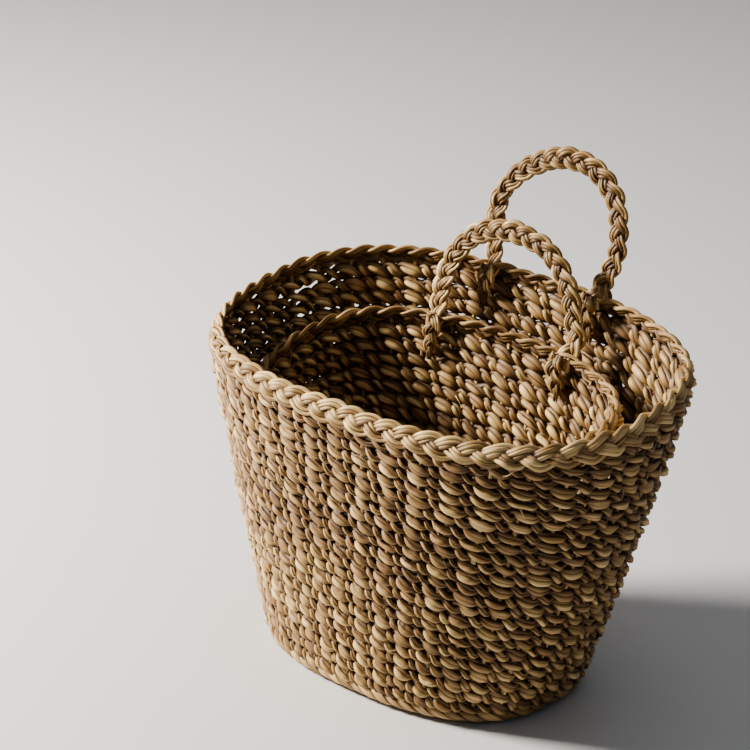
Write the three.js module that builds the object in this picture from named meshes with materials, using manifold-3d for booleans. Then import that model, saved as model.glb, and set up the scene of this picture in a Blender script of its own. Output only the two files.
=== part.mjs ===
// Nesting pair of hand-woven seagrass storage baskets, each with one plaited loop handle on its long back wall.
// Millimetres, +Z up, +X along the long side of the oval, +Y towards the wall that carries the handles.
import * as THREE from "three";
import Module from "manifold-3d";

// ---- Driving dimensions --------------------------------------------------------------------------------------
// An oval is a rounded rectangle with half-length a, half-width b and squareness n (2 is a plain ellipse).
const LARGE = {
  rim: { a: 176, b: 105, n: 2.6 },
  foot: { a: 111, b: 76, n: 2.55 },
  height: 220,
  bulge: 0.14, // how far the side swells outwards between foot and rim
  footShiftY: -19, // the foot sits towards the front, so the back wall flares more
  backRise: 16, // the rim is higher than its mean at the back and lower at the front
  endDip: -2,
  centre: [0, 0, 0],
};
const SMALL = {
  rim: { a: 135.5, b: 81, n: 2.6 },
  foot: { a: 85.5, b: 58.5, n: 2.55 },
  height: 180,
  bulge: 0.14,
  footShiftY: -14.5,
  backRise: 14,
  endDip: -1.5,
  centre: [-4, -6, 10], // nested on the large basket's floor
};
const WALL_THICKNESS = 8;
const FLOOR_THICKNESS = 8;
const FOOT_COIL = { width: 10, height: 9, overhang: 0, lift: 0.3 };
const RIM_BRAID = { width: 13, height: 12, overhang: 1.5 };
const GAP = 0.4;
const RIM_ZONE = RIM_BRAID.height + GAP;
const FLOOR_EDGE_ROUND = 2.5;

// Loop handles: a centreline in the handle's own plane, [along the wall, up from the rim], leaning out with the wall.
const HANDLE_RADIUS = 6.6;
const HANDLE_LEAN = THREE.MathUtils.degToRad(12);
const FOOT_RISE = HANDLE_RADIUS + GAP;
const LARGE_HANDLE = {
  offsetX: 0,
  line: [
    [-47, FOOT_RISE], [-50, 22], [-49, 40], [-40, 57], [-22, 71], [2, 79],
    [26, 76.5], [43, 65], [51, 49], [54, 29], [51.5, 15], [48, FOOT_RISE],
  ],
};
const SMALL_HANDLE = {
  offsetX: -8,
  line: [
    [-57, FOOT_RISE], [-55.5, 19], [-50, 37], [-36, 54], [-17, 62], [4, 64],
    [24, 60], [40, 49.5], [51, 33], [55.5, 18], [57, FOOT_RISE],
  ],
};
// The braid's ends straddle the rim and are sewn down on both faces of the wall.
const INNER_TAIL = { radius: 4, length: 34, riseAboveRim: 0.5 };
const OUTER_TAIL = { radius: 2.6, length: 22, riseAboveRim: -1 };
const TAIL_SPLAY = 4; // how far a tail drifts along the wall on its way down: apart inside, together outside

const RING_SEGMENTS = 60;
const WALL_STEPS = 7;
const LOOP_STEPS = 44;
const TAIL_STEPS = 9;
const ROUND_SIDES = 10;
const SPHERE_RINGS = 8;

const COLOURS = {
  straw: 0xb89668,
  pale: 0xc7a77b,
  shade: 0x9c7a50,
};

const wasm = await Module();
wasm.setup();

// ---- Shared shape of a basket --------------------------------------------------------------------------------
// A point of the side: angle round the oval, height fraction t, and inset from the outer face.
// The rim's rise at the back fades out down the wall, and is whole over the rim's own depth.
function wallPoint(shape, angle, t, inset = 0) {
  const { rim, foot, height, bulge } = shape;
  const w = t + bulge * t * (1 - t);
  const a = THREE.MathUtils.lerp(foot.a, rim.a, w) - inset;
  const b = THREE.MathUtils.lerp(foot.b, rim.b, w) - inset;
  const n = THREE.MathUtils.lerp(foot.n, rim.n, t);
  const c = Math.cos(angle);
  const s = Math.sin(angle);
  const k = 1 / (Math.abs(c) ** n + Math.abs(s) ** n) ** (1 / n);
  const fade = Math.min(1, t / (1 - RIM_ZONE / height)) ** 2;
  const lift = fade * (shape.endDip * (c * k) ** 2 + shape.backRise * s * k);
  return new THREE.Vector3(
    shape.centre[0] + a * c * k,
    shape.centre[1] + b * s * k + shape.footShiftY * (1 - t),
    shape.centre[2] + height * t + lift,
  );
}

// Turns a closed profile of [inset, t] points into a ring that follows the oval side.
function ringGeometry(shape, profile) {
  const base = 1000;
  const loop = [...profile, profile[0]].map((_, i) => new THREE.Vector2(base + (i % profile.length), 0));
  const geometry = new THREE.LatheGeometry(loop, RING_SEGMENTS);
  return mapLathe(geometry, loop.length, (row) => {
    const [inset, t] = profile[row % profile.length];
    return (angle) => wallPoint(shape, angle, t, inset);
  });
}

// Places every vertex of a lathe by its profile row and its angle; the last column repeats the first exactly.
function mapLathe(geometry, rows, placeRow) {
  const position = geometry.getAttribute("position");
  for (let i = 0; i < position.count; i += 1) {
    const column = Math.floor(i / rows) % RING_SEGMENTS;
    const angle = (column / RING_SEGMENTS) * 2 * Math.PI;
    const p = placeRow(i % rows)(angle);
    position.setXYZ(i, p.x, p.y, p.z);
  }
  geometry.computeVertexNormals();
  return geometry;
}

// ---- Parts of one basket -------------------------------------------------------------------------------------
function floorGeometry(shape) {
  const edge = FOOT_COIL.width + GAP;
  const top = FLOOR_THICKNESS;
  const r = FLOOR_EDGE_ROUND;
  const centreY = shape.centre[1] + shape.footShiftY;
  const profile = [
    [1, 0], [edge + r, 0], [edge, r], [edge, top - r], [edge + r, top], [1, top],
  ];
  const loop = profile.map((_, i) => new THREE.Vector2(i === 0 || i === profile.length - 1 ? 0 : 1 + i, i));
  const geometry = new THREE.LatheGeometry(loop, RING_SEGMENTS);
  return mapLathe(geometry, loop.length, (row) => (angle) => {
    const [inset, z] = profile[row];
    if (row === 0 || row === profile.length - 1) {
      return new THREE.Vector3(shape.centre[0], centreY, shape.centre[2] + z);
    }
    const p = wallPoint(shape, angle, 0, inset);
    p.z = shape.centre[2] + z;
    return p;
  });
}

// An oval cord laid round the basket with its middle at a height and its outer side past the wall by overhang.
function cordProfile(shape, middleZ, { width, height, overhang }) {
  return Array.from({ length: ROUND_SIDES }, (_, i) => {
    const turn = (i / ROUND_SIDES) * 2 * Math.PI;
    const inset = (width / 2) * (1 - Math.cos(turn)) - overhang;
    return [inset, (middleZ + (height / 2) * Math.sin(turn)) / shape.height];
  });
}

function footGeometry(shape) {
  return ringGeometry(shape, cordProfile(shape, FOOT_COIL.lift + FOOT_COIL.height / 2, FOOT_COIL));
}

function rimGeometry(shape) {
  return ringGeometry(shape, cordProfile(shape, shape.height - RIM_BRAID.height / 2, RIM_BRAID));
}

function wallGeometry(shape) {
  const low = (FOOT_COIL.lift + FOOT_COIL.height + GAP) / shape.height;
  const high = 1 - RIM_ZONE / shape.height;
  const steps = Array.from({ length: WALL_STEPS + 1 }, (_, i) => i / WALL_STEPS);
  const side = (inset) => steps.map((f) => [inset, THREE.MathUtils.lerp(low, high, f)]);
  return ringGeometry(shape, [...side(0), ...side(WALL_THICKNESS).reverse()]);
}

// ---- Handles -------------------------------------------------------------------------------------------------
function roundSection(radius) {
  const shape = new THREE.Shape();
  shape.absarc(0, 0, radius, 0, 2 * Math.PI, false);
  return shape;
}

function tubeGeometry(points, radius, steps) {
  const path = new THREE.CatmullRomCurve3(points, false, "centripetal");
  return new THREE.ExtrudeGeometry(roundSection(radius), {
    steps,
    extrudePath: path,
    curveSegments: ROUND_SIDES / 2,
    bevelEnabled: false,
  });
}

function solidOf(geometry) {
  const position = (geometry.index ? geometry.toNonIndexed() : geometry).getAttribute("position");
  const seen = new Map();
  const vertices = [];
  const triangles = [];
  for (let i = 0; i < position.count; i += 1) {
    const p = [position.getX(i), position.getY(i), position.getZ(i)].map((v) => Math.round(v * 1e4) / 1e4);
    const key = p.join();
    if (!seen.has(key)) {
      seen.set(key, vertices.length / 3);
      vertices.push(...p);
    }
    triangles.push(seen.get(key));
  }
  return new wasm.Manifold(
    new wasm.Mesh({ numProp: 3, vertProperties: new Float32Array(vertices), triVerts: new Uint32Array(triangles) }),
  );
}

function joinAll(geometries) {
  const joined = wasm.Manifold.union(geometries.map(solidOf)).getMesh();
  const out = new THREE.BufferGeometry();
  out.setAttribute("position", new THREE.BufferAttribute(new Float32Array(joined.vertProperties), 3));
  out.setIndex(new THREE.BufferAttribute(new Uint32Array(joined.triVerts), 1));
  const faceted = out.toNonIndexed();
  faceted.computeVertexNormals();
  return faceted;
}

// Outer top edge of the back rim at a distance x along the wall, measured from the basket's own centre line.
function rimEdge(shape, x) {
  let angle = Math.PI / 2;
  for (let i = 0; i < 30; i += 1) {
    const p = wallPoint(shape, angle, 1);
    angle += (p.x - shape.centre[0] - x) / shape.rim.a;
  }
  return wallPoint(shape, angle, 1);
}

// Point of the handle's centreline: x along the wall, h up the leaning plane from the rim.
function handlePoint(shape, handle, x, h) {
  const middle = rimEdge(shape, handle.offsetX);
  return new THREE.Vector3(
    middle.x + x,
    middle.y - RIM_BRAID.width / 2 + h * Math.sin(HANDLE_LEAN),
    middle.z + h * Math.cos(HANDLE_LEAN),
  );
}

function handleGeometry(shape, handle) {
  const points = handle.line.map(([x, h]) => handlePoint(shape, handle, x, h));
  const ends = [points[0], points[points.length - 1]].map((p) => {
    const ball = new THREE.SphereGeometry(HANDLE_RADIUS, ROUND_SIDES, SPHERE_RINGS);
    return ball.translate(p.x, p.y, p.z);
  });
  return joinAll([tubeGeometry(points, HANDLE_RADIUS, LOOP_STEPS), ...ends]);
}

// A braid end sewn down one face of the wall; face is +1 for the inside and -1 for the outside.
function tailGeometry(shape, handle, footIndex, face, tail) {
  const [x] = handle.line.at(footIndex);
  const drift = face * TAIL_SPLAY * Math.sign(x);
  const wallFace = face > 0 ? WALL_THICKNESS : 0;
  const rimFace = (face > 0 ? RIM_BRAID.width : 0) - RIM_BRAID.overhang;
  const clear = face * (tail.radius + 2 * GAP);
  const stations = [
    [rimFace + clear, -tail.riseAboveRim, 0],
    [rimFace + clear, RIM_BRAID.height / 2, 0.2],
    [rimFace + clear, RIM_ZONE, 0.45],
    [wallFace + clear + face, RIM_BRAID.height + tail.length / 3, 0.7],
    [wallFace + clear, tail.length, 1],
  ];
  const points = stations.map(([inset, drop, f]) => {
    const edge = rimEdge(shape, handle.offsetX + x + drift * f);
    const angle = Math.atan2(
      (edge.y - shape.centre[1]) / shape.rim.b,
      (edge.x - shape.centre[0]) / shape.rim.a,
    );
    return wallPoint(shape, angle, 1 - drop / shape.height, inset);
  });
  return tubeGeometry(points, tail.radius, TAIL_STEPS);
}

// ---- Assembly ------------------------------------------------------------------------------------------------
function addNode(group, name, geometry, colour, roughness) {
  const material = new THREE.MeshStandardMaterial({ color: colour, roughness, metalness: 0 });
  const mesh = new THREE.Mesh(geometry, material);
  mesh.name = name;
  group.add(mesh);
}

function addBasket(group, prefix, shape, handle) {
  addNode(group, `${prefix}_floor`, floorGeometry(shape), COLOURS.shade, 0.85);
  addNode(group, `${prefix}_foot_coil`, footGeometry(shape), COLOURS.straw, 0.8);
  addNode(group, `${prefix}_wall`, wallGeometry(shape), COLOURS.straw, 0.8);
  addNode(group, `${prefix}_rim_braid`, rimGeometry(shape), COLOURS.pale, 0.75);
  addNode(group, `${prefix}_handle_loop`, handleGeometry(shape, handle), COLOURS.pale, 0.75);
  for (const [side, footIndex] of [["left", 0], ["right", -1]]) {
    const inner = tailGeometry(shape, handle, footIndex, 1, INNER_TAIL);
    const outer = tailGeometry(shape, handle, footIndex, -1, OUTER_TAIL);
    addNode(group, `${prefix}_${side}_inner_tail`, inner, COLOURS.pale, 0.8);
    addNode(group, `${prefix}_${side}_outer_tail`, outer, COLOURS.pale, 0.8);
  }
}

const baskets = new THREE.Group();
baskets.name = "nesting_seagrass_baskets";
addBasket(baskets, "large", LARGE, LARGE_HANDLE);
addBasket(baskets, "small", SMALL, SMALL_HANDLE);

// The frame's origin is the middle of the footprint, on the ground.
const box = new THREE.Box3().setFromObject(baskets, true);
const middle = box.getCenter(new THREE.Vector3());
baskets.position.set(-middle.x, -middle.y, -box.min.z);

export default baskets;
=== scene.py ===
import math

import bpy
import numpy as np
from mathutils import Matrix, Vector


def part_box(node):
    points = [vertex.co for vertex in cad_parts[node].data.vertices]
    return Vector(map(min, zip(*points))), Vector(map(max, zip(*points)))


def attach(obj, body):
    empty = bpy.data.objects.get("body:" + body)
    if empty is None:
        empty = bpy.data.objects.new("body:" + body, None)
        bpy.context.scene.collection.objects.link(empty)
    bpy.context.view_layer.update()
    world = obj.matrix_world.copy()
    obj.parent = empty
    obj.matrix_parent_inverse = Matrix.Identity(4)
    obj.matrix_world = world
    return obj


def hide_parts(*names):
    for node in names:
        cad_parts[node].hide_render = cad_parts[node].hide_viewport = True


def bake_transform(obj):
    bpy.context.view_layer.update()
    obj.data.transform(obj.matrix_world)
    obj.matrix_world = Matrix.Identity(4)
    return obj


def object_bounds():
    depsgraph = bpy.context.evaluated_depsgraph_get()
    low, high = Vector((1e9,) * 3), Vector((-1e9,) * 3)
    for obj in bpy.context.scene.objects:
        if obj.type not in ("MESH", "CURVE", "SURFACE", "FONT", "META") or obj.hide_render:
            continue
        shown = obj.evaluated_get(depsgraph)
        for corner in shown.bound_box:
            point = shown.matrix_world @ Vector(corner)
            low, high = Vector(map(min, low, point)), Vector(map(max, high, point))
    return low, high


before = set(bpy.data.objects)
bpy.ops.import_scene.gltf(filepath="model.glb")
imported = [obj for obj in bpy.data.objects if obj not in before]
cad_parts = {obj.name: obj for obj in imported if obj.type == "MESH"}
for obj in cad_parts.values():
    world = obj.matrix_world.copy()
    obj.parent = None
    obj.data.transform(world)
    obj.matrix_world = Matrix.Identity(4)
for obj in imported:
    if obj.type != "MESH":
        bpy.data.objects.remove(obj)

# ---- Named values ------------------------------------------------------------------------------
MM = 0.001
SEED = 11
CAD_LOW, CAD_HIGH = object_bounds()

# The two baskets' shape, as in the CAD (mm): rim and foot ovals as half-length, half-width, squareness.
# stakes and rows are the weave's own, which the CAD leaves out.
LARGE = dict(name="large", rim=(176, 105, 2.6), foot=(111, 76, 2.55), height=220, bulge=0.14,
             foot_shift=-19, back_rise=16, end_dip=-2, centre=(0, 0, 0), stakes=38, rows=23,
             handle_x=0, foot_rise=7)
SMALL = dict(name="small", rim=(135.5, 81, 2.6), foot=(85.5, 58.5, 2.55), height=180, bulge=0.14,
             foot_shift=-14.5, back_rise=14, end_dip=-1.5, centre=(-4, -6, 10), stakes=30, rows=19,
             handle_x=-8, foot_rise=7)
# Handle centrelines in the handle's own plane (mm): along the wall, up from the rim. They are the CAD's,
# but for the small handle's right foot, which stands 5 mm further out, where the photo has it.
HANDLE_LINES = {
    "large": [(-47, 7), (-50, 22), (-49, 40), (-40, 57), (-22, 71), (2, 79),
              (26, 76.5), (43, 65), (51, 49), (54, 29), (51.5, 15), (48, 7)],
    "small": [(-57, 7), (-55.5, 19), (-50, 37), (-36, 54), (-17, 62), (4, 64),
              (24, 60), (40, 49.5), (51.5, 33), (58, 18), (62, 7)],
}
HANDLE_LEAN = math.radians(12)
WALL_THICKNESS = 8
FOOT_TOP = 9.7
RIM_ZONE = 12.4
RIM_WIDTH, RIM_OVERHANG, RIM_HEIGHT = 13, 1.5, 12
ROWS_PER_BAND = 3
STITCH_STEPS = 18
NECK_LEAD = 0.35
STAKE_CROWDING, CROWDED_ANGLE = 0.14, 3.7
RIBBON_SIDES = 8

# The wall's twined rows: where the wefts linger, how they narrow where they cross, and their two blades.
WEFT_DWELL = 0.5
WEFT_PINCH = 0.24
LONG_STITCH_EXTRA = 0.2
STRETCH_FILL = 1.6
WEFT_BLADE_WIDTH, WEFT_BLADE_BESIDE, WEFT_BLADE_STAND = 0.66, 0.42, 0.30
ZIGZAG_SHARPNESS = 0.92

# The floor's rings and the foot coil (mm).
FLOOR_START, FLOOR_PITCH, FLOOR_STITCH, FLOOR_MIDDLE = 13.0, 7.4, 17, 5.0
FOOT_COIL = dict(middle=6.0, inset=4.6, out=2.5, up=2.3, half_width=2.9, half_thick=1.7)
BLADE_TONES = (0.2, 0.9)

# Photo camera: azimuth and elevation of the view, its distance and the point it looks at (mm).
CAMERA = dict(azimuth=43.33, elevation=22.36, distance=1973, focal=144, look=(-57.6, -5.2, 179))

_low, _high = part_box("large_floor")
SHIFT = np.array([0.0, (_low.y + _high.y) / 2 / MM - LARGE["foot_shift"], 0.0])


# ---- Shape of a basket -------------------------------------------------------------------------
def side_point(shape, angle, t, inset):
    """Points of a basket's side in mm: angle round the oval, height fraction, inset from the outer face."""
    angle, t, inset = np.broadcast_arrays(*[np.asarray(v, float) for v in (angle, t, inset)])
    w = t + shape["bulge"] * t * (1 - t)
    (ra, rb, rn), (fa, fb, fn) = shape["rim"], shape["foot"]
    a = fa + (ra - fa) * w - inset
    b = fb + (rb - fb) * w - inset
    n = fn + (rn - fn) * t
    c, s = np.cos(angle), np.sin(angle)
    k = 1 / (np.abs(c) ** n + np.abs(s) ** n) ** (1 / n)
    fade = np.minimum(1, np.maximum(t, 0) / (1 - RIM_ZONE / shape["height"])) ** 2
    lift = fade * (shape["end_dip"] * (c * k) ** 2 + shape["back_rise"] * s * k)
    cx, cy, cz = shape["centre"]
    points = np.stack([cx + a * c * k, cy + b * s * k + shape["foot_shift"] * (1 - t),
                       cz + shape["height"] * t + lift], -1)
    return points + SHIFT


def unit(v):
    return v / np.maximum(np.linalg.norm(v, axis=-1, keepdims=True), 1e-9)


def tangent_of(line, closed=False):
    """Unit directions along a line of points."""
    if closed:
        return unit(np.roll(line, -1, 0) - np.roll(line, 1, 0))
    return unit(np.gradient(line, axis=0))


def square_to(face, tangent):
    """face with its part along the tangent taken out."""
    return unit(face - (face * tangent).sum(1, keepdims=True) * tangent)


def side_frame(shape, angle, t):
    """Outward normal and the upward direction in the wall's surface."""
    along = side_point(shape, angle + 0.01, t, 0) - side_point(shape, angle - 0.01, t, 0)
    up = side_point(shape, angle, t + 0.01, 0) - side_point(shape, angle, t - 0.01, 0)
    return unit(np.cross(along, up)), unit(up)


def even_angle(shape, level=0.6):
    """A function from turns (0 to 1) to the oval's angle, so that equal steps are equal lengths of wall."""
    dense = np.linspace(-math.pi / 2, 1.5 * math.pi, 2401)
    steps = np.linalg.norm(np.diff(side_point(shape, dense, level, 0), axis=0), axis=1)
    steps *= 1 + STAKE_CROWDING * np.cos(dense[1:] - CROWDED_ANGLE)
    turns = np.concatenate([[0], np.cumsum(steps)]) / steps.sum()
    return lambda u: np.interp(np.mod(u, 1.0), turns, dense)


# ---- Strands -----------------------------------------------------------------------------------
class Strands:
    """Collects swept blades and turns them into one mesh with fibre coordinates and a tone per blade."""

    def __init__(self, name):
        self.name = name
        self.points, self.quads = [], []
        self.fibre, self.tone, self.proud = [], [], []
        self.count = 0

    def sweep(self, path, normal, across, half_width, half_thick, tone, closed=False, twist=0.0,
              crease=0.1, core=None):
        """One blade: its section's wide axis lies along across, its flat faces look along the normal.

        core is the weave's middle line, its depth direction and its half depth. What lies near that line is
        in a crevice and gets painted shade; what stands far from it gets painted light."""
        m, k = len(path), RIBBON_SIDES
        psi = np.arange(k) / k * 2 * math.pi
        turn = np.linspace(0, twist, m)[:, None]
        ripple = 1 + crease * np.cos(3 * psi[None, :] + turn)
        lens = np.sin(psi) * np.abs(np.sin(psi)) ** 0.15
        wide = (half_width[:, None] * np.cos(psi) * ripple)[..., None]
        thick = (half_thick[:, None] * lens * ripple)[..., None]
        verts = path[:, None, :] + across[:, None, :] * wide + normal[:, None, :] * thick
        length = np.concatenate([[0], np.cumsum(np.linalg.norm(np.diff(path, axis=0), axis=1))])
        offset = RNG.uniform(0, 500)
        fibre = np.stack([np.repeat((length + offset)[:, None], k, 1), np.tile(np.cos(psi), (m, 1)),
                          np.tile(np.sin(psi), (m, 1))], -1)
        i = np.arange(m if closed else m - 1)[:, None]
        j = np.arange(k)[None, :]
        nxt, side = (i + 1) % m, (j + 1) % k
        quads = np.stack(np.broadcast_arrays(i * k + j, i * k + side, nxt * k + side, nxt * k + j), -1)
        quads = quads.reshape(-1, 4)[:, ::-1]
        self.quads.append(quads + self.count)
        self.points.append(verts.reshape(-1, 3))
        self.fibre.append(fibre.reshape(-1, 3))
        self.tone.append(np.repeat(np.broadcast_to(tone, (m,)), k))
        # proud: how far a point stands out from the weave's middle line; the material paints shade where it
        # is low and light where it is high
        proud = np.full((m, k), 0.8)
        if core is not None:
            middle, direction, reach = core
            away = verts - middle[:, None, :]
            if direction is None:
                depth = np.linalg.norm(away, axis=2)
            else:
                depth = np.abs((away * direction[:, None, :]).sum(2))
            proud = np.clip(depth / reach, 0, 1)
        self.proud.append(proud.ravel())
        self.count += m * k
        if not closed:
            self.cap(m, k)

    def cap(self, m, k):
        """Closes both ends of the last open blade with a fan of quads round a middle point."""
        last = self.points[-1].reshape(m, k, 3)
        base = self.count - m * k
        for row, flip in ((0, False), (m - 1, True)):
            middle = last[row].mean(0)
            self.points.append(middle[None])
            self.fibre.append(self.fibre[-1][:1] * 0)
            self.tone.append(self.tone[-1][:1])
            self.proud.append(self.proud[-1][:1])
            ring = base + row * k + np.arange(k)
            middles = np.full(k // 2, self.count)
            fan = np.stack([middles, ring[0::2], ring[1::2], np.roll(ring, -2)[0::2]], 1)
            self.quads.append(fan if flip else fan[:, ::-1])
            self.count += 1

    def build(self, material):
        points = np.concatenate(self.points) * MM
        quads = np.concatenate(self.quads)
        mesh = bpy.data.meshes.new(self.name)
        mesh.vertices.add(len(points))
        mesh.vertices.foreach_set("co", points.astype(np.float32).ravel())
        mesh.loops.add(quads.size)
        mesh.loops.foreach_set("vertex_index", quads.astype(np.int32).ravel())
        mesh.polygons.add(len(quads))
        mesh.polygons.foreach_set("loop_start", np.arange(0, quads.size, 4, dtype=np.int32))
        mesh.polygons.foreach_set("use_smooth", np.ones(len(quads), bool))
        mesh.update(calc_edges=True)
        fibre = mesh.attributes.new("fibre", "FLOAT_VECTOR", "POINT")
        fibre.data.foreach_set("vector", np.concatenate(self.fibre).astype(np.float32).ravel())
        for name, values in (("tone", self.tone), ("proud", self.proud)):
            layer = mesh.attributes.new(name, "FLOAT", "POINT")
            layer.data.foreach_set("value", np.concatenate(values).astype(np.float32))
        mesh.materials.append(material)
        obj = bpy.data.objects.new(self.name, mesh)
        bpy.context.scene.collection.objects.link(obj)
        return obj


RNG = np.random.default_rng(SEED)


def smooth_ring(count, blocks, low=0.0, high=1.0):
    """A slow random curve round a ring, count samples long."""
    knots = RNG.uniform(low, high, blocks)
    x = np.arange(count) / count * blocks
    i = np.floor(x).astype(int)
    f = x - i
    f = f * f * (3 - 2 * f)
    return knots[i % blocks] * (1 - f) + knots[(i + 1) % blocks] * f


def stitch_values(samples, stitches, spread):
    """A random value that changes from stitch to stitch, 0 on average."""
    return smooth_ring(samples, stitches, -spread, spread)


def twined_loop(strands, ring, count, depth, rise, width, thick, roll, looseness=1.0):
    """Two wefts that twist once round each other from stake to stake along a closed row.

    One weft lies outside at every stake, in a long stitch, and the other comes out between them, in a
    short steep one. ring(turns) gives points on the row, outward normals, upward directions and how
    far the row is stretched."""
    steps = STITCH_STEPS
    m = count * steps
    u = np.arange(m) / steps
    base, normal, up, stretch = ring(u / count)
    sway = smooth_ring(m, max(6, count // 3), -0.6, 0.6) * looseness
    place = 2 * math.pi * (u + RNG.uniform(-0.12, 0.12) * looseness)
    place = place + stitch_values(m, count, 0.7) * looseness
    dwell = WEFT_DWELL + stitch_values(m, count, 0.24) * looseness
    for parity in (0, 1):
        phase = place - dwell * np.sin(place) + math.pi * parity
        outside, crossing = np.cos(phase), np.sin(phase)
        radial = depth * outside * (1 + stitch_values(m, count, 0.22) * looseness)
        vertical = -rise * stretch * np.sin(phase + NECK_LEAD)
        vertical = vertical * (1 + stitch_values(m, count, 0.2) * looseness)
        vertical += sway + stitch_values(m, 2 * count, 0.7) * looseness
        path = base + normal * radial[:, None] + up * vertical[:, None]
        tangent = tangent_of(path, closed=True)
        flat = unit(normal - (normal * tangent).sum(1, keepdims=True) * tangent)
        side = np.cross(flat, tangent)
        tilt = (roll * outside + stitch_values(m, 2 * count, 0.35) * looseness)[:, None]
        face = flat * np.cos(tilt) + side * np.sin(tilt)
        across = side * np.cos(tilt) - flat * np.sin(tilt)
        bold = stretch ** STRETCH_FILL + LONG_STITCH_EXTRA * outside * (1 - 2 * parity)
        bold = bold + stitch_values(m, 2 * count, 0.24) * looseness
        half_width = width / 2 * (1 - WEFT_PINCH * np.abs(crossing) ** 2) * bold
        half_thick = np.full(m, thick / 2)
        base_tone = smooth_ring(m, max(4, count // 6), 0.3, 0.72) + stitch_values(m, count, 0.14)
        turn = stitch_values(m, count, 0.9)
        for edge in (1, -1):
            beside = half_width * WEFT_BLADE_BESIDE * np.cos(turn) * edge
            stand = half_width * WEFT_BLADE_STAND * np.sin(turn) * edge - 0.35 * edge * outside
            line = path + across * beside[:, None] + face * stand[:, None]
            tone = np.clip(base_tone + stitch_values(m, 2 * count, 0.14) - 0.05 * edge, 0, 1)
            strands.sweep(line, face, across, half_width * WEFT_BLADE_WIDTH, half_thick, tone, closed=True,
                          core=(base, normal, depth + thick * 0.7))


def bundle(strands, path, face, across, blades, spread, half_width, half_thick, twist=0.0, taper=None,
           closed=False, core=None, flat=False):
    """Several blades lying together along a path: side by side if flat, or turning slowly about it."""
    m = len(path)
    taper = np.ones(m) if taper is None else taper
    for b in range(blades):
        turn = twist * np.linspace(0, 1, m) + 2 * math.pi * b / blades
        turn = turn + smooth_ring(m, max(4, m // 18), -0.7, 0.7)
        c, s = np.cos(turn)[:, None], np.sin(turn)[:, None]
        loose = (spread * taper)[:, None]
        place = b - (blades - 1) / 2
        if flat:
            tilt = 0.32 * place * np.ones((m, 1))
            line = path + across * place * loose - face * (0.45 * place**2) * loose / spread
        else:
            tilt = 0.6 * np.cos(turn)[:, None]
            line = path + across * c * loose + face * s * loose * 0.7
        line += across * smooth_ring(m, max(4, m // 5), -0.45, 0.45)[:, None] * taper[:, None]
        line += face * smooth_ring(m, max(4, m // 5), -0.4, 0.4)[:, None] * taper[:, None]
        blade_face = face * np.cos(tilt) + across * np.sin(tilt)
        tangent = tangent_of(line, closed)
        blade_face = square_to(blade_face, tangent)
        blade_side = np.cross(blade_face, tangent)
        uneven = 1 + 0.26 * smooth_ring(m, max(5, m // 6), -1, 1)
        tone = smooth_ring(m, max(3, m // 60), *BLADE_TONES)
        tone = np.clip(tone + 0.1 * smooth_ring(m, max(5, m // 12), -1, 1), 0, 1)
        strands.sweep(line, blade_face, blade_side, half_width * uneven * taper,
                      half_thick * uneven * taper, tone, closed=closed, twist=8 * math.pi, core=core)


def plait(strands, path, face, across, period, half_span, half_rise, blades, spread, half_width,
          half_thick, taper=None, closed=False, lopsided=0.0, hang=0.0, depth_bias=0.0):
    """A three-strand plait along a path, its flat side looking along face.

    Each strand is a flat bundle of blades. lopsided makes the legs on one side longer and those on the
    other steeper, hang moves them all to one side, and depth_bias moves the line that the painted crevice
    shade is measured from."""
    m = len(path)
    length = np.concatenate([[0], np.cumsum(np.linalg.norm(np.diff(path, axis=0), axis=1))])
    if closed:
        total = length[-1] + np.linalg.norm(path[0] - path[-1])
        period = total / round(total / period)
    taper = np.ones(m) if taper is None else taper
    for j in range(3):
        theta = 2 * math.pi * (length / period + j / 3)
        theta = theta - lopsided * np.sin(theta - 0.4 * math.pi)
        loose = 1 + (0.1 * smooth_ring(m, max(5, m // 10), -1, 1))
        zigzag = np.arcsin(ZIGZAG_SHARPNESS * np.sin(theta)) / math.asin(ZIGZAG_SHARPNESS)
        sideways = (half_span * zigzag * loose - hang) * taper
        lift = half_rise * np.sin(2 * theta) * taper
        line = path + across * sideways[:, None] + face * lift[:, None]
        tangent = tangent_of(line, closed)
        line_face = square_to(face, tangent)
        line_side = np.cross(line_face, tangent)
        bundle(strands, line, line_face, line_side, blades, spread, half_width, half_thick,
               taper=np.maximum(taper, 0.35), closed=closed, flat=True,
               core=(path - across * hang - face * depth_bias, None, half_span + half_width))


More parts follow.
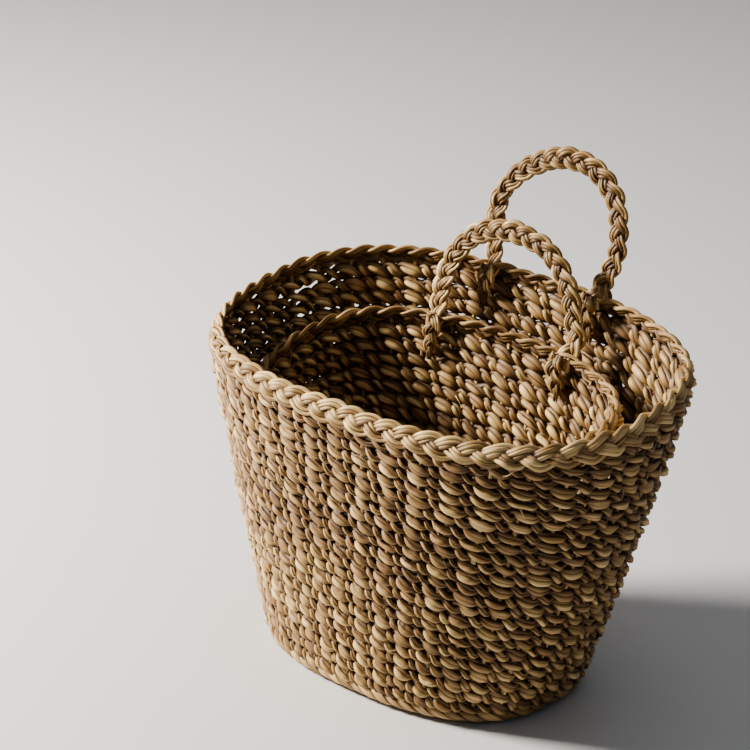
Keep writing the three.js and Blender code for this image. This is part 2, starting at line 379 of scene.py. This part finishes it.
# ---- Materials ---------------------------------------------------------------------------------
def seagrass(name, dark, mid, light, roughness=0.5, bump=0.35):
    """Dry seagrass: tone per blade, streaks and creases along the fibre, uneven gloss, painted shade in the
    weave's crevices and along the blades' edges, and painted light on the proudest parts.
    """
    mat = bpy.data.materials.new(name)
    mat.use_nodes = True
    tree = mat.node_tree
    nodes, link = tree.nodes, tree.links.new
    nodes.clear()
    out = nodes.new("ShaderNodeOutputMaterial")
    shader = nodes.new("ShaderNodeBsdfPrincipled")
    link(shader.outputs["BSDF"], out.inputs["Surface"])
    fibre = nodes.new("ShaderNodeAttribute")
    fibre.attribute_name = "fibre"
    tone = nodes.new("ShaderNodeAttribute")
    tone.attribute_name = "tone"

    def fibre_noise(scale, detail):
        stretch = nodes.new("ShaderNodeVectorMath")
        stretch.operation = "MULTIPLY"
        stretch.inputs[1].default_value = scale
        link(fibre.outputs["Vector"], stretch.inputs[0])
        noise = nodes.new("ShaderNodeTexNoise")
        noise.inputs["Scale"].default_value = 1.0
        noise.inputs["Detail"].default_value = detail
        link(stretch.outputs["Vector"], noise.inputs["Vector"])
        return noise.outputs["Fac"]

    def mix(kind, fac, a, b):
        node = nodes.new("ShaderNodeMix")
        node.data_type = "RGBA"
        node.blend_type = kind
        for socket, value in ((node.inputs[0], fac), (node.inputs[6], a), (node.inputs[7], b)):
            if hasattr(value, "is_linked"):
                link(value, socket)
            else:
                socket.default_value = value
        return node.outputs[2]

    def ramp(value, stops):
        node = nodes.new("ShaderNodeValToRGB")
        link(value, node.inputs["Fac"])
        elements = node.color_ramp.elements
        while len(elements) < len(stops):
            elements.new(0.5)
        for element, (place, colour) in zip(elements, stops):
            element.position = place
            element.color = (*colour, 1)
        return node.outputs["Color"]

    pale = tuple(c * 1.12 for c in light)
    base = ramp(tone.outputs["Fac"], [(0.0, dark), (0.45, mid), (0.8, light), (1.0, pale)])
    streaks = ramp(fibre_noise((0.035, 3.2, 3.2), 5),
                   [(0.3, (0.42, 0.37, 0.32)), (0.52, (0.95, 0.95, 0.95)), (0.7, (1.25, 1.22, 1.15))])
    base = mix("MULTIPLY", 0.85, base, streaks)
    patches = ramp(fibre_noise((0.02, 0.5, 0.5), 2),
                   [(0.35, (1, 1, 1)), (0.62, (0.92, 1.0, 0.80)), (0.8, (1.06, 0.88, 0.80))])
    base = mix("MULTIPLY", 0.6, base, patches)
    proud = nodes.new("ShaderNodeAttribute")
    proud.attribute_name = "proud"
    # painted shade and light: darker where a blade lies deep in the weave, brighter where it stands
    # proudest
    painted_shade_and_light = ramp(proud.outputs["Fac"],
                [(0.1, (0.22, 0.16, 0.12)), (0.6, (0.64, 0.57, 0.50)), (0.97, (1.25, 1.25, 1.25))])
    base = mix("MULTIPLY", 1.0, base, painted_shade_and_light)
    section = nodes.new("ShaderNodeSeparateXYZ")
    link(fibre.outputs["Vector"], section.inputs["Vector"])
    edge = nodes.new("ShaderNodeMath")
    edge.operation = "ABSOLUTE"
    link(section.outputs["Y"], edge.inputs[0])
    # painted shade: each blade darker along its side edges, where it meets its neighbours
    painted_edge_shade = ramp(edge.outputs["Value"], [(0.55, (1, 1, 1)), (1.0, (0.50, 0.42, 0.36))])
    base = mix("MULTIPLY", 1.0, base, painted_edge_shade)
    flecks = ramp(fibre_noise((0.25, 2.0, 2.0), 3), [(0.66, (1, 1, 1)), (0.74, (0.52, 0.40, 0.30))])
    base = mix("MULTIPLY", 0.5, base, flecks)
    link(base, shader.inputs["Base Color"])
    gloss = nodes.new("ShaderNodeMapRange")
    gloss.inputs["To Min"].default_value = roughness - 0.12
    gloss.inputs["To Max"].default_value = roughness + 0.2
    link(fibre_noise((0.08, 1.5, 1.5), 3), gloss.inputs["Value"])
    link(gloss.outputs["Result"], shader.inputs["Roughness"])
    shader.inputs["Specular IOR Level"].default_value = 0.6
    relief = nodes.new("ShaderNodeBump")
    relief.inputs["Strength"].default_value = bump
    relief.inputs["Distance"].default_value = 0.0008
    link(fibre_noise((0.05, 4.5, 4.5), 4), relief.inputs["Height"])
    link(relief.outputs["Normal"], shader.inputs["Normal"])
    return mat


def plaster(name):
    """A plain pale matt floor with a faint unevenness."""
    mat = bpy.data.materials.new(name)
    mat.use_nodes = True
    nodes, link = mat.node_tree.nodes, mat.node_tree.links.new
    shader = nodes["Principled BSDF"]
    noise = nodes.new("ShaderNodeTexNoise")
    noise.inputs["Scale"].default_value = 6
    ramp = nodes.new("ShaderNodeValToRGB")
    ramp.color_ramp.elements[0].color = (0.70, 0.70, 0.71, 1)
    ramp.color_ramp.elements[1].color = (0.76, 0.76, 0.77, 1)
    link(noise.outputs["Fac"], ramp.inputs["Fac"])
    link(ramp.outputs["Color"], shader.inputs["Base Color"])
    shader.inputs["Roughness"].default_value = 0.6
    return mat


# ---- Pieces of a basket ------------------------------------------------------------------------
def finish_piece(obj, body, nodes=()):
    if body:
        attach(obj, body)
    if nodes:
        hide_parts(*nodes)
    return obj


def wall_ring(shape, t, pitch):
    angle_of = even_angle(shape)

    def ring(turns):
        angle = angle_of(turns)
        normal, up = side_frame(shape, angle, t)
        rows = [side_point(shape, angle, t + half * pitch, WALL_THICKNESS / 2) for half in (-0.5, 0.5)]
        stretch = np.linalg.norm(rows[1] - rows[0], axis=1) / (pitch * shape["height"])
        return side_point(shape, angle, t, WALL_THICKNESS / 2), normal, up, stretch

    return ring


def woven_wall(shape, material):
    """The twined rows, in bands of a few rows."""
    name, height = shape["name"], shape["height"]
    low, high = FOOT_TOP / height, 1 - RIM_ZONE / height
    pitch = (high - low) / shape["rows"]
    tall = pitch * height
    rows = range(shape["rows"])
    for first in range(0, shape["rows"], ROWS_PER_BAND):
        band = Strands(f"{name}_wall_rows_{first + 1:02d}")
        for row in rows[first:first + ROWS_PER_BAND]:
            t = low + pitch * (row + 0.5)
            twined_loop(band, wall_ring(shape, t, pitch), shape["stakes"], depth=2.1, rise=tall * 0.31,
                        width=tall * 0.69, thick=4.0, roll=0.42)
        obj = band.build(material)
        finish_piece(obj, f"{name}_basket", [f"{name}_wall"] if first == 0 else ())


def stakes(shape, material):
    """The upright stakes that the rows are twined round, in one piece."""
    name, height = shape["name"], shape["height"]
    angle_of = even_angle(shape)
    posts = Strands(f"{name}_stakes")
    t = np.linspace(4 / height, 1 - RIM_ZONE * 0.6 / height, 40)
    for i in range(shape["stakes"]):
        angle = np.full(len(t), angle_of(i / shape["stakes"]))
        path = side_point(shape, angle, t, WALL_THICKNESS / 2)
        normal, up = side_frame(shape, angle, t)
        side = np.cross(normal, tangent_of(path))
        bundle(posts, path, normal, side, 2, 0.5, 1.5, 1.1, twist=6.0)
    finish_piece(posts.build(material), f"{name}_basket")


def foot_coil(shape, material):
    """The thick three-strand row at the turn from floor to wall."""
    name, height = shape["name"], shape["height"]
    angle_of = even_angle(shape, 0.0)
    m = shape["stakes"] * 14
    turns = np.arange(m) / m
    angle = angle_of(turns)
    t = np.full(m, FOOT_COIL["middle"] / height)
    base = side_point(shape, angle, t, FOOT_COIL["inset"])
    normal, up = side_frame(shape, angle, t)
    coil = Strands(f"{name}_foot_coil_weave")
    lays = shape["stakes"] // 2
    for j in range(3):
        phase = 2 * math.pi * (lays * turns + j / 3)
        path = base + normal * (FOOT_COIL["out"] * np.cos(phase))[:, None]
        path = path - up * (FOOT_COIL["up"] * np.sin(phase))[:, None]
        tangent = tangent_of(path, closed=True)
        out = unit(path - base)
        out = unit(out - (out * tangent).sum(1, keepdims=True) * tangent)
        side = np.cross(out, tangent)
        tone = np.clip(smooth_ring(m, 12, 0.1, 0.9), 0, 1)
        uneven = 1 + 0.12 * smooth_ring(m, shape["stakes"], -1, 1)
        coil.sweep(path, out, side, FOOT_COIL["half_width"] * uneven, FOOT_COIL["half_thick"] * uneven,
                   tone, closed=True, twist=2 * math.pi * lays)
    finish_piece(coil.build(material), f"{name}_basket", [f"{name}_foot_coil"])


def woven_floor(shape, material):
    """Oval rows twined round and round, down to a seam in the middle."""
    name = shape["name"]
    half_width = shape["foot"][1]
    weave = Strands(f"{name}_floor_weave")
    inset = FLOOR_START
    while inset < half_width - 2:
        angle_of = even_angle(shape, 0.0)

        def ring(turns, inset=inset):
            angle = angle_of(turns)
            points = side_point(shape, angle, 0.0, inset)
            points[:, 2] = shape["centre"][2] + FLOOR_MIDDLE
            up = np.tile([0.0, 0.0, 1.0], (len(points), 1))
            tangent = unit(np.roll(points, -1, 0) - np.roll(points, 1, 0))
            return points, up, np.cross(up, tangent), np.ones(len(points))

        a, b = shape["foot"][0] - inset, half_width - inset
        around = math.pi * (a + b)
        count = max(5, round(around / FLOOR_STITCH))
        twined_loop(weave, ring, count, depth=1.6, rise=2.0, width=5.2, thick=2.8, roll=0.2, looseness=0.6)
        inset += FLOOR_PITCH
    obj = weave.build(material)
    finish_piece(obj, f"{name}_basket", [f"{name}_floor"])


def rim_braid(shape, material):
    """The plaited border, its face turned outwards and up."""
    name, height = shape["name"], shape["height"]
    angle_of = even_angle(shape, 1.0)
    m = shape["stakes"] * 12
    angle = angle_of(np.arange(m) / m)
    t = np.full(m, 1 - RIM_HEIGHT / 2 / height)
    path = side_point(shape, angle, t, RIM_WIDTH / 2 - RIM_OVERHANG)
    normal, up = side_frame(shape, angle, t)
    lean = math.radians(38)
    face = normal * math.cos(lean) + up * math.sin(lean)
    across = up * math.cos(lean) - normal * math.sin(lean)
    braid = Strands(f"{name}_rim_plait")
    plait(braid, path, face, across, period=48, half_span=4.5, half_rise=2.0, blades=3, spread=2.35,
          half_width=1.6, half_thick=1.3, closed=True, lopsided=0.08, hang=0.8, depth_bias=2.0)
    finish_piece(braid.build(material), f"{name}_basket", [f"{name}_rim_braid"])


# ---- Handles -----------------------------------------------------------------------------------
def smooth_path(points, step=1.6):
    """A smooth curve through points, resampled at even steps (mm)."""
    points = np.array(points, float)
    gaps = np.sqrt(np.linalg.norm(np.diff(points, axis=0), axis=1))
    knots = np.concatenate([[0], np.cumsum(gaps)])
    slope = np.gradient(points, knots, axis=0)
    dense = []
    for i in range(len(points) - 1):
        f = np.linspace(0, 1, 40, endpoint=False)[:, None]
        h = knots[i + 1] - knots[i]
        dense.append((2 * f**3 - 3 * f**2 + 1) * points[i] + (f**3 - 2 * f**2 + f) * h * slope[i]
                     + (-2 * f**3 + 3 * f**2) * points[i + 1] + (f**3 - f**2) * h * slope[i + 1])
    dense = np.concatenate([*dense, points[-1:]])
    length = np.concatenate([[0], np.cumsum(np.linalg.norm(np.diff(dense, axis=0), axis=1))])
    even = np.linspace(0, length[-1], max(8, int(length[-1] / step)))
    return np.stack([np.interp(even, length, dense[:, c]) for c in range(3)], 1)


def rim_angle(shape, x):
    angle = math.pi / 2
    for _ in range(30):
        p = side_point(shape, angle, 1.0, 0)
        angle += (p[0] - shape["centre"][0] - x) / shape["rim"][0]
    return angle


def handle_point(shape, x, h):
    middle = side_point(shape, rim_angle(shape, shape["handle_x"]), 1.0, 0)
    return middle + np.array([x, -RIM_WIDTH / 2 + h * math.sin(HANDLE_LEAN), h * math.cos(HANDLE_LEAN)])


def wall_stop(shape, x, depth, inset):
    """A point beside the wall, depth below the rim's edge."""
    return side_point(shape, rim_angle(shape, x), 1 - depth / shape["height"], inset)


def foot_height(shape):
    return handle_point(shape, 0, shape["foot_rise"])[2]


def handle_pieces(shape, material):
    """The plaited loop and its tails sewn to the wall."""
    name = shape["name"]
    line = HANDLE_LINES[name]
    centre_x = shape["handle_x"]
    for side, (x, _), sign in (("left", line[0], -1), ("right", line[-1], 1)):
        tail_pieces(shape, material, side, centre_x + x, sign)
    feet = [wall_stop(shape, centre_x + x, 9, 11.0) for x, _ in (line[0], line[-1])]
    rows = [feet[0], *[handle_point(shape, x, h) for x, h in line], feet[1]]
    path = smooth_path(rows)
    tangent = tangent_of(path)
    plane = np.array([0, -math.cos(HANDLE_LEAN), math.sin(HANDLE_LEAN)])
    face = np.tile(plane, (len(path), 1))
    face = square_to(face, tangent)
    across = np.cross(face, tangent)
    braid = Strands(f"{name}_handle_plait")
    plait(braid, path, face, across, period=34, half_span=4.3, half_rise=1.9, blades=3, spread=2.1,
          half_width=1.45, half_thick=1.2)
    obj = braid.build(material)
    foot = foot_height(shape) * MM
    y = handle_point(shape, 0, shape["foot_rise"])[1] * MM
    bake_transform(obj)
    finish_piece(obj, None, [f"{name}_handle_loop"])


def tail_pieces(shape, material, side, x, sign):
    """One foot's inner tail, a plait that runs to a point, and its outer tail, a thin bundle."""
    name = shape["name"]
    drift = 4 * sign
    stops = [(x, 1.5, 13.0), (x, 7, 15.8), (x + drift * 0.4, 14, 14.4), (x + drift * 0.8, 21, 12.6),
             (x + drift, 29, 11.4)]
    path = smooth_path([wall_stop(shape, *s) for s in stops], 1.2)
    angle = rim_angle(shape, x)
    normal, _ = side_frame(shape, np.array([angle]), np.array([0.9]))
    tangent = tangent_of(path)
    face = np.tile(-normal[0], (len(path), 1))
    face = square_to(face, tangent)
    across = np.cross(face, tangent)
    f = np.linspace(0, 1, len(path))
    taper = np.clip((1 - f) / 0.45, 0.12, 1) ** 0.6
    inner = Strands(f"{name}_{side}_inner_tail_plait")
    plait(inner, path, face, across, period=32, half_span=3.8, half_rise=1.5, blades=3, spread=1.8,
          half_width=1.4, half_thick=1.1, taper=taper)
    finish_piece(inner.build(material), f"{name}_basket", [f"{name}_{side}_inner_tail"])
    stops = [(x, -2, 3.0), (x, 4, -2.6), (x - drift * 0.5, 12, -3.0), (x - drift, 22, -1.6),
             (x - drift, 27, 1.5)]
    path = smooth_path([wall_stop(shape, *s) for s in stops], 1.2)
    tangent = tangent_of(path)
    face = np.tile(normal[0], (len(path), 1))
    face = square_to(face, tangent)
    across = np.cross(face, tangent)
    taper = np.clip((1 - np.linspace(0, 1, len(path))) / 0.3, 0.2, 1) ** 0.5
    outer = Strands(f"{name}_{side}_outer_tail_strand")
    bundle(outer, path, face, across, 3, 1.7, 1.9, 1.1, twist=3.5, taper=taper)
    finish_piece(outer.build(material), f"{name}_basket", [f"{name}_{side}_outer_tail"])


def loose_fibres(shape, material, count):
    """Short wisps that stand off the wall where blade ends were tucked in."""
    name = shape["name"]
    wisps = Strands(f"{name}_loose_fibres")
    for _ in range(count):
        angle = RNG.uniform(0, 2 * math.pi)
        t = RNG.uniform(0.06, 0.93)
        inside = RNG.random() < 0.3
        normal, up = side_frame(shape, np.array([angle]), np.array([t]))
        normal, up = normal[0] * (-1 if inside else 1), up[0]
        along = np.cross(up, normal)
        start = side_point(shape, angle, t, WALL_THICKNESS - 1 if inside else 1.0)
        size = RNG.uniform(3, 9)
        heading = RNG.normal(0, 1)
        f = np.linspace(0, 1, 7)[:, None]
        curl = RNG.normal(0, 0.5)
        path = (start + (along * math.cos(heading) + up * math.sin(heading)) * f * size
                + normal * (np.sin(f * 2.4) * size * 0.32) + up * curl * f**2 * size)
        tangent = tangent_of(path)
        face = np.tile(normal, (7, 1))
        face = square_to(face, tangent)
        thin = np.linspace(1, 0.3, 7) * RNG.uniform(0.35, 0.75)
        wisps.sweep(path, face, np.cross(face, tangent), thin, thin * 0.5, RNG.uniform(0.3, 1.0))
    finish_piece(wisps.build(material), f"{name}_basket")


# ---- Stage -------------------------------------------------------------------------------------
def area_light(name, place, size, power, colour, aim=(0, 0, 0.12)):
    data = bpy.data.lights.new(name, "AREA")
    data.shape = "RECTANGLE"
    data.size, data.size_y = size
    data.energy = power
    data.color = colour
    obj = bpy.data.objects.new(name, data)
    obj.location = place
    obj.rotation_mode = "QUATERNION"
    obj.rotation_quaternion = (Vector(aim) - Vector(place)).to_track_quat("-Z", "Y")
    bpy.context.scene.collection.objects.link(obj)


def stage():
    mesh = bpy.data.meshes.new("floor")
    reach = 6.0
    corners = [(-reach, -reach, 0), (reach, -reach, 0), (reach, reach, 0), (-reach, reach, 0)]
    mesh.from_pydata(corners, [], [(0, 1, 2, 3)])
    mesh.materials.append(plaster("pale_plaster"))
    floor = bpy.data.objects.new("floor", mesh)
    floor.location.z = CAD_LOW.z - 0.0005
    bpy.context.scene.collection.objects.link(floor)
    area_light("key", (-1.52, -0.85, 1.12), (0.45, 0.45), 105, (1.0, 0.94, 0.85))
    area_light("fill", (1.2, -1.5, 1.0), (1.6, 1.6), 1.2, (0.90, 0.94, 1.0))
    area_light("top", (0.1, 0.5, 1.7), (1.2, 1.2), 4.0, (1.0, 0.98, 0.95))
    world = bpy.data.worlds.new("studio")
    world.use_nodes = True
    world.node_tree.nodes["Background"].inputs["Color"].default_value = (0.80, 0.86, 0.93, 1)
    world.node_tree.nodes["Background"].inputs["Strength"].default_value = 0.125
    bpy.context.scene.world = world
    bpy.context.scene.view_settings.look = "AgX - Medium High Contrast"


def camera():
    data = bpy.data.cameras.new("photo_camera")
    data.lens = CAMERA["focal"]
    data.sensor_width = 36
    data.clip_start, data.clip_end = 0.05, 50
    obj = bpy.data.objects.new("photo_camera", data)
    a, e = math.radians(CAMERA["azimuth"]), math.radians(CAMERA["elevation"])
    back = Vector((math.sin(a) * math.cos(e), -math.cos(a) * math.cos(e), math.sin(e)))
    look = (Vector(CAMERA["look"]) + Vector(SHIFT)) * MM
    obj.location = look + back * CAMERA["distance"] * MM
    obj.rotation_mode = "QUATERNION"
    obj.rotation_quaternion = (-back).to_track_quat("-Z", "Y")
    bpy.context.scene.collection.objects.link(obj)
    bpy.context.scene.camera = obj


# ---- Build -------------------------------------------------------------------------------------
WALL_GRASS = seagrass("wall_seagrass", (0.17, 0.088, 0.034), (0.39, 0.235, 0.097), (0.74, 0.53, 0.265))
BRAID_GRASS = seagrass("braid_seagrass", (0.18, 0.097, 0.038), (0.39, 0.24, 0.10), (0.72, 0.52, 0.27),
                       roughness=0.46)
FLOOR_GRASS = seagrass("floor_seagrass", (0.15, 0.088, 0.04), (0.32, 0.20, 0.095), (0.52, 0.37, 0.20),
                       roughness=0.6)

for basket in (LARGE, SMALL):
    woven_floor(basket, FLOOR_GRASS)
    foot_coil(basket, WALL_GRASS)
    stakes(basket, WALL_GRASS)
    woven_wall(basket, WALL_GRASS)
    rim_braid(basket, BRAID_GRASS)
    handle_pieces(basket, BRAID_GRASS)
    loose_fibres(basket, BRAID_GRASS, 60)

stage()
camera()
